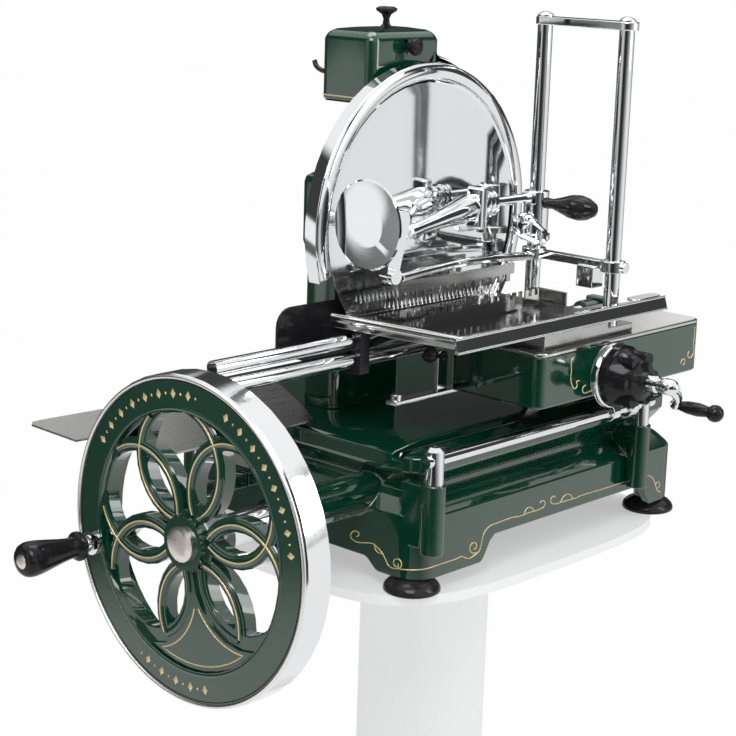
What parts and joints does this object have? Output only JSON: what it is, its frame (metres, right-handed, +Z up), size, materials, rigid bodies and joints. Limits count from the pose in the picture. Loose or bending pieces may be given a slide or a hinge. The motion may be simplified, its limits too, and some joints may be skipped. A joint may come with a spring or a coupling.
{
  "type": "hand crank meat slicer",
  "caption": "Flywheel slicer turned by hand: a crank wheel spins the upright round blade and slides the meat table past it.",
  "frame": {"origin": "centre between the four feet, in the plane of their undersides", "axes": "+Z up, +X along the carriage from the flywheel end to the handwheel end, +Y from the operator's side to the far side"},
  "size_m": [0.9, 0.5987, 0.7367],
  "materials": {
    "black_resin": "glossy black resin",
    "black_rubber": "matte black rubber",
    "brushed_cap": "brushed steel",
    "green_enamel": "glossy dark green enamel",
    "grinding_stone": "bonded abrasive stone",
    "machined_steel": "machined steel and iron",
    "polished_chrome": "polished chrome plate",
    "stainless_steel": "satin stainless steel"
  },
  "bodies": {
    "frame": {"base_casting": "green_enamel", "foot_near_left": "black_rubber", "foot_far_left": "black_rubber", "foot_near_right": "black_rubber", "foot_far_right": "black_rubber", "near_guide_rail": "polished_chrome", "upper_guide_tube": "polished_chrome", "lower_guide_bar": "polished_chrome", "bearing_sleeve": "polished_chrome", "blade_chain": "machined_steel", "blade_support": "green_enamel", "ring_guard": "polished_chrome", "lower_guard": "black_resin", "sharpener_housing": "green_enamel", "tray_arm": "polished_chrome"},
    "wheel": {"flywheel": "green_enamel", "hub_cap": "brushed_cap", "handle_spindle": "polished_chrome", "main_shaft": "machined_steel", "drive_bevel_gear": "machined_steel"},
    "wheel_grip": {"handle_grip": "black_resin", "grip_end_cap": "polished_chrome"},
    "cross_drive": {"cross_shaft": "machined_steel", "driven_bevel_gear": "machined_steel"},
    "rocker": {"slotted_rocker": "machined_steel"},
    "blade_rotor": {"blade": "polished_chrome", "blade_hub_cover": "polished_chrome", "blade_shaft": "machined_steel"},
    "tray": {"slice_tray": "stainless_steel"},
    "carriage_body": {"carriage": "green_enamel", "carriage_lid": "stainless_steel", "rod_slider": "polished_chrome", "flat_arm": "polished_chrome"},
    "lock_lever": {"ball_lever": "black_resin"},
    "feed_wheel": {"handwheel": "black_resin", "feed_screw": "machined_steel", "crank_arm": "polished_chrome"},
    "feed_grip": {"crank_grip": "black_resin"},
    "table_body": {"table_carrier": "stainless_steel", "meat_table": "stainless_steel", "toothed_fence": "stainless_steel", "spiked_strip": "stainless_steel", "column_near": "polished_chrome", "column_far": "polished_chrome", "column_crossbar": "polished_chrome"},
    "press": {"press_yoke": "polished_chrome", "press_plate": "stainless_steel", "column_clamp": "polished_chrome"},
    "clamp_handle": {"teardrop_handle": "black_resin"},
    "catch_loop": {"loop_lever": "polished_chrome"},
    "pusher": {"pusher_arm": "polished_chrome", "pivot_bracket": "polished_chrome"},
    "pusher_plate": {"pusher_disc": "polished_chrome"},
    "grinding": {"grinding_stone": "grinding_stone"},
    "honing": {"honing_stone": "grinding_stone"},
    "knob": {"sharpener_knob": "black_resin"},
    "button": {"sharpener_button": "black_resin"}
  },
  "joints": [
    {"name": "flywheel_turn", "type": "hinge", "parent": "frame", "child": "wheel", "pos_m": [-0.524, -0.11, 0.103], "axis": [1, 0, 0], "continuous": true},
    {"name": "handle_grip_spin", "type": "hinge", "parent": "wheel", "child": "wheel_grip", "pos_m": [-0.542, 0.042, 0.066], "axis": [1, 0, 0], "continuous": true},
    {"name": "cross_shaft_turn", "type": "hinge", "parent": "frame", "child": "cross_drive", "pos_m": [-0.125, -0.11, 0.103], "axis": [0, 1, 0], "continuous": true},
    {"name": "blade_turn", "type": "hinge", "parent": "frame", "child": "blade_rotor", "pos_m": [-0.1, -0.061, 0.406], "axis": [0, 1, 0], "continuous": true},
    {"name": "carriage_slide", "type": "slide", "parent": "frame", "child": "carriage_body", "axis": [1, 0, 0], "range_m": [-0.26, 0]},
    {"name": "rocker_swing", "type": "hinge", "parent": "frame", "child": "rocker", "pos_m": [-0.125, -0.165, 0.053], "axis": [0, 1, 0], "range_deg": [-86, 0]},
    {"name": "tray_lift", "type": "slide", "parent": "frame", "child": "tray", "axis": [0, 0, 1], "range_m": [0, 0.025]},
    {"name": "lock_lever_turn", "type": "hinge", "parent": "carriage_body", "child": "lock_lever", "pos_m": [-0.133, -0.126, 0.2527], "axis": [0, 1, 0], "range_deg": [0, 60]},
    {"name": "handwheel_turn", "type": "hinge", "parent": "carriage_body", "child": "feed_wheel", "pos_m": [0.045, -0.25, 0.226], "axis": [0, 1, 0], "range_deg": [-1800, 0]},
    {"name": "crank_grip_spin", "type": "hinge", "parent": "feed_wheel", "child": "feed_grip", "pos_m": [0.0903, -0.3113, 0.1931], "axis": [0, 1, 0], "continuous": true},
    {"name": "table_feed", "type": "slide", "parent": "carriage_body", "child": "table_body", "axis": [0, 1, 0], "range_m": [-0.05, 0]},
    {"name": "press_height", "type": "slide", "parent": "table_body", "child": "press", "axis": [0, 0, 1], "range_m": [0, 0.2]},
    {"name": "clamp_handle_turn", "type": "hinge", "parent": "press", "child": "clamp_handle", "pos_m": [0.0735, -0.1133, 0.418], "axis": [0, 1, 0], "range_deg": [-80, 0]},
    {"name": "catch_loop_swing", "type": "hinge", "parent": "press", "child": "catch_loop", "pos_m": [0.0473, -0.097, 0.3902], "axis": [1, 0, 0], "range_deg": [-60, 0]},
    {"name": "pusher_swing", "type": "hinge", "parent": "press", "child": "pusher", "pos_m": [-0.044, -0.097, 0.424], "axis": [1, 0, 0], "range_deg": [-40, 12]},
    {"name": "pusher_disc_spin", "type": "hinge", "parent": "pusher", "child": "pusher_plate", "pos_m": [-0.262, -0.1185, 0.422], "axis": [1, 0, 0], "continuous": true},
    {"name": "grinding_stone_spin", "type": "hinge", "parent": "frame", "child": "grinding", "pos_m": [-0.118, -0.036, 0.557], "axis": [0, 1, 0], "continuous": true},
    {"name": "honing_stone_spin", "type": "hinge", "parent": "frame", "child": "honing", "pos_m": [-0.088, -0.036, 0.557], "axis": [0, 1, 0], "continuous": true},
    {"name": "sharpener_knob_turn", "type": "hinge", "parent": "frame", "child": "knob", "pos_m": [-0.112, 0, 0.6324], "axis": [0, 0, 1], "range_deg": [0, 90]},
    {"name": "sharpener_button_press", "type": "slide", "parent": "frame", "child": "button", "axis": [0, 1, 0], "range_m": [0, 0.0025], "stiffness_N_per_m": 300, "springref_m": -0.001}
  ],
  "couplings": [
    {"joint": "cross_shaft_turn", "follows": "flywheel_turn", "ratio": 1},
    {"joint": "blade_turn", "follows": "flywheel_turn", "ratio": 2},
    {"joint": "rocker_swing", "follows": "carriage_slide", "rad_per_m": 5.772},
    {"joint": "handwheel_turn", "follows": "table_feed", "rad_per_m": 628.3}
  ]
}
